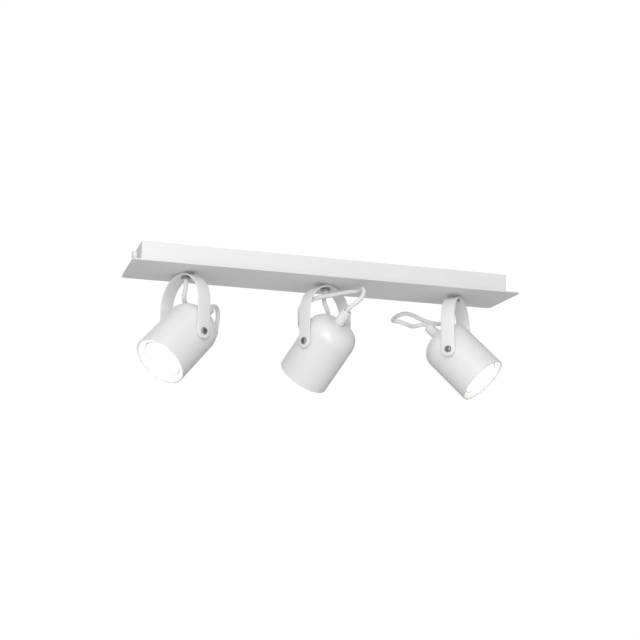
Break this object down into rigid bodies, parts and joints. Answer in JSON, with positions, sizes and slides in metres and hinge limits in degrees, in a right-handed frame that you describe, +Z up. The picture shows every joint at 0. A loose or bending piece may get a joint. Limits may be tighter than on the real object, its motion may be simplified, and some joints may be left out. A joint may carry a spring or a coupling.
{
  "type": "ceiling spotlight bar",
  "caption": "Flat ceiling bar with swivelling can spots on bent yokes, each panned about a hollow nipple, tilted on side screws and fed by a loose outside cable.",
  "frame": {"origin": "centre of the flat ceiling bracket's top face, which lies on the ceiling", "axes": "+Z up into the ceiling, +X along the bar to the right as seen from the front, -Y to the front"},
  "size_m": [0.5, 0.1081, 0.1633],
  "materials": {
    "tray_white": "satin white powder coat",
    "plate_white": "satin white powder coat",
    "knob_white": "satin white powder coat",
    "yoke_white": "satin white powder coat",
    "can_white": "satin white powder coat",
    "boss_white": "satin white powder coat",
    "zinc": "bright zinc plate",
    "dark_screw": "dark plated steel",
    "white_cable": "smooth white sheath",
    "ceramic": "unglazed white ceramic",
    "terminal_plastic": "translucent white plastic",
    "lamp_white": "smooth white",
    "baffle_white": "satin white",
    "lamp_glow": "lit opal lens",
    "nylon": "moulded white",
    "lead_brown": "sleeved lead"
  },
  "bodies": {
    "bar": {"base_plate": "plate_white", "canopy_tray": "tray_white", "ceiling_bracket": "zinc", "thumb_screw_left": "knob_white", "thumb_screw_right": "knob_white", "terminal_block": "terminal_plastic", "earth_screw": "zinc", "lead_left": "lead_brown", "nipple_left": "zinc", "inner_nut_left": "zinc", "friction_washer_left": "nylon", "lock_nut_left": "dark_screw", "lead_middle": "lead_brown", "nipple_middle": "zinc", "inner_nut_middle": "zinc", "friction_washer_middle": "nylon", "lock_nut_middle": "dark_screw", "lead_right": "lead_brown", "nipple_right": "zinc", "inner_nut_right": "zinc", "friction_washer_right": "nylon", "lock_nut_right": "dark_screw"},
    "arm_left": {"yoke_left": "yoke_white", "cable_left": "white_cable"},
    "spot_left": {"can_shell_left": "can_white", "rear_boss_left": "boss_white", "lamp_holder_left": "ceramic", "spot_lamp_left": "lamp_white", "lamp_lens_left": "lamp_glow", "baffle_ring_left": "baffle_white", "pivot_bush_front_left": "nylon", "pivot_bush_back_left": "nylon", "tilt_screw_front_left": "dark_screw", "tilt_screw_back_left": "dark_screw"},
    "arm_middle": {"yoke_middle": "yoke_white", "cable_middle": "white_cable"},
    "spot_middle": {"can_shell_middle": "can_white", "rear_boss_middle": "boss_white", "lamp_holder_middle": "ceramic", "spot_lamp_middle": "lamp_white", "lamp_lens_middle": "lamp_glow", "baffle_ring_middle": "baffle_white", "pivot_bush_front_middle": "nylon", "pivot_bush_back_middle": "nylon", "tilt_screw_front_middle": "dark_screw", "tilt_screw_back_middle": "dark_screw"},
    "arm_right": {"yoke_right": "yoke_white", "cable_right": "white_cable"},
    "spot_right": {"can_shell_right": "can_white", "rear_boss_right": "boss_white", "lamp_holder_right": "ceramic", "spot_lamp_right": "lamp_white", "lamp_lens_right": "lamp_glow", "baffle_ring_right": "baffle_white", "pivot_bush_front_right": "nylon", "pivot_bush_back_right": "nylon", "tilt_screw_front_right": "dark_screw", "tilt_screw_back_right": "dark_screw"}
  },
  "joints": [
    {"name": "pan_left", "type": "hinge", "parent": "bar", "child": "arm_left", "pos_m": [-0.178, 0, -0.0289], "axis": [0, 0, 1], "range_deg": [-170, 170]},
    {"name": "tilt_left", "type": "hinge", "parent": "arm_left", "child": "spot_left", "pos_m": [-0.178, 0, -0.104], "axis": [0.4384, -0.8988, 0], "range_deg": [-46.3, 133.7], "deforming": ["cable_left"]},
    {"name": "pan_middle", "type": "hinge", "parent": "bar", "child": "arm_middle", "pos_m": [0, 0, -0.0289], "axis": [0, 0, 1], "range_deg": [-170, 170]},
    {"name": "tilt_middle", "type": "hinge", "parent": "arm_middle", "child": "spot_middle", "pos_m": [0, 0, -0.104], "axis": [-0.8788, -0.4772, 0], "range_deg": [-44.2, 135.8], "deforming": ["cable_middle"]},
    {"name": "pan_right", "type": "hinge", "parent": "bar", "child": "arm_right", "pos_m": [0.178, 0, -0.0289], "axis": [0, 0, 1], "range_deg": [-170, 170]},
    {"name": "tilt_right", "type": "hinge", "parent": "arm_right", "child": "spot_right", "pos_m": [0.178, 0, -0.104], "axis": [-0.6494, -0.7604, 0], "range_deg": [-133.2, 46.8], "deforming": ["cable_right"]}
  ]
}
